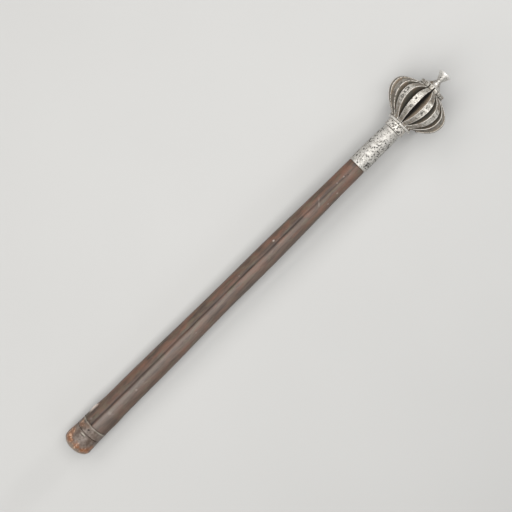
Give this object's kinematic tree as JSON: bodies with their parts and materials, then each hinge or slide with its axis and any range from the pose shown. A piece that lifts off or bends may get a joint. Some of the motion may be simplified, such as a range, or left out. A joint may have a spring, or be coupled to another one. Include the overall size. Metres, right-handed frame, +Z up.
{
  "type": "flanged ceremonial mace",
  "caption": "Flanged ceremonial mace with a leather-covered haft, a bright metal sleeve and a turned finial, lying on its side.",
  "frame": {"origin": "on the surface that the mace lies on, under the middle of its bounding box", "axes": "+X from the butt towards the finial, +Y to the left seen from above with the finial ahead, +Z up"},
  "size_m": [0.6436, 0.0804, 0.0798],
  "materials": {
    "haft_leather": "dark red-brown leather, hand polished, with a sewn seam along the top",
    "cap_leather": "brown leather, worn to tan along its edges",
    "silvered": "bright silvered metal with black pits",
    "flange_steel": "grey steel, bright on its engraved outer faces, dark and brown between them"
  },
  "bodies": {
    "root": {"butt_cap": "cap_leather", "butt_band": "cap_leather", "haft": "haft_leather", "socket": "silvered", "collar": "silvered", "neck_disc": "silvered", "head_core": "flange_steel", "flange_01": "flange_steel", "flange_02": "flange_steel", "flange_03": "flange_steel", "flange_04": "flange_steel", "flange_05": "flange_steel", "flange_06": "flange_steel", "flange_07": "flange_steel", "flange_08": "flange_steel", "flange_09": "flange_steel", "flange_10": "flange_steel", "flange_11": "flange_steel", "flange_12": "flange_steel", "flange_13": "flange_steel", "flange_14": "flange_steel", "flange_15": "flange_steel", "flange_16": "flange_steel", "finial": "silvered"}
  },
  "joints": []
}
